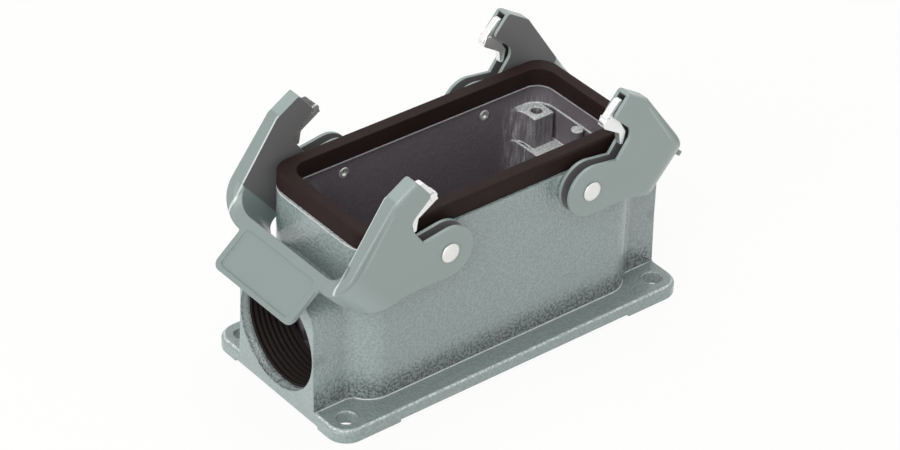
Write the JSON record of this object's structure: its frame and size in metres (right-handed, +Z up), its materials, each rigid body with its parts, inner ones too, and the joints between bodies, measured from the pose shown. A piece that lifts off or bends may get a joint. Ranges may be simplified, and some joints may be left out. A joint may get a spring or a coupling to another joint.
{
  "type": "connector housing",
  "caption": "Open-topped rectangular connector housing on a four-hole foot, with a side cable entry, a rim seal and a locking lever at each end.",
  "frame": {"origin": "middle of the object's box, on the plane that the foot stands on", "axes": "+X along the housing away from the cable entry, +Y to the far side, +Z up out of the open top"},
  "size_m": [0.134, 0.057, 0.0719],
  "materials": {
    "painted_casting": "grey-green paint with a fine pebbled texture on die-cast aluminium",
    "seal_rubber": "brown-black rubber",
    "painted_lever": "smooth grey-green paint on sheet steel",
    "spring_steel": "bright spring steel",
    "rivet_steel": "bright turned steel"
  },
  "bodies": {
    "base": {"housing": "painted_casting", "rim_seal": "seal_rubber", "right_far_rivet": "rivet_steel", "right_near_rivet": "rivet_steel", "left_far_rivet": "rivet_steel", "left_near_rivet": "rivet_steel"},
    "right_latch": {"right_lever": "painted_lever", "right_lever_far_spring": "spring_steel", "right_lever_near_spring": "spring_steel"},
    "left_latch": {"left_lever": "painted_lever", "left_lever_far_spring": "spring_steel", "left_lever_near_spring": "spring_steel"}
  },
  "joints": [
    {"name": "right_lever_hinge", "type": "hinge", "parent": "base", "child": "right_latch", "pos_m": [0.02365, 0, 0.0465], "axis": [0, -1, 0], "range_deg": [0, 42]},
    {"name": "left_lever_hinge", "type": "hinge", "parent": "base", "child": "left_latch", "pos_m": [-0.02365, 0, 0.0465], "axis": [0, 1, 0], "range_deg": [0, 42]}
  ]
}
